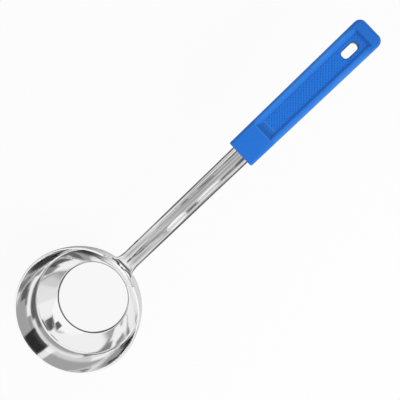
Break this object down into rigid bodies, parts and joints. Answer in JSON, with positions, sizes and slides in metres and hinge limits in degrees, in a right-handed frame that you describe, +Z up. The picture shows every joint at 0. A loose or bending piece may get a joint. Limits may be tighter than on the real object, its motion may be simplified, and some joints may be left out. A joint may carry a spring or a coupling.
{
  "type": "portion ladle",
  "caption": "Portion ladle: a deep round flat-bottomed steel bowl pressed in one piece with a straight shank, and a blue plastic grip with a knurled panel and a hang slot.",
  "frame": {"origin": "centre of the flat underside of the bowl, on the surface that it stands on", "axes": "+X from the bowl along the handle, +Z up along the bowl's axis"},
  "size_m": [0.3306, 0.097, 0.0796],
  "materials": {
    "polished_steel": "polished stainless sheet, bright inside the bowl, fine drawing lines along the shank",
    "blue_plastic": "blue moulded plastic, satin gloss, finely knurled in the sunk panel"
  },
  "bodies": {
    "root": {"steel_bowl_and_shank": "polished_steel", "grip": "blue_plastic"}
  },
  "joints": []
}
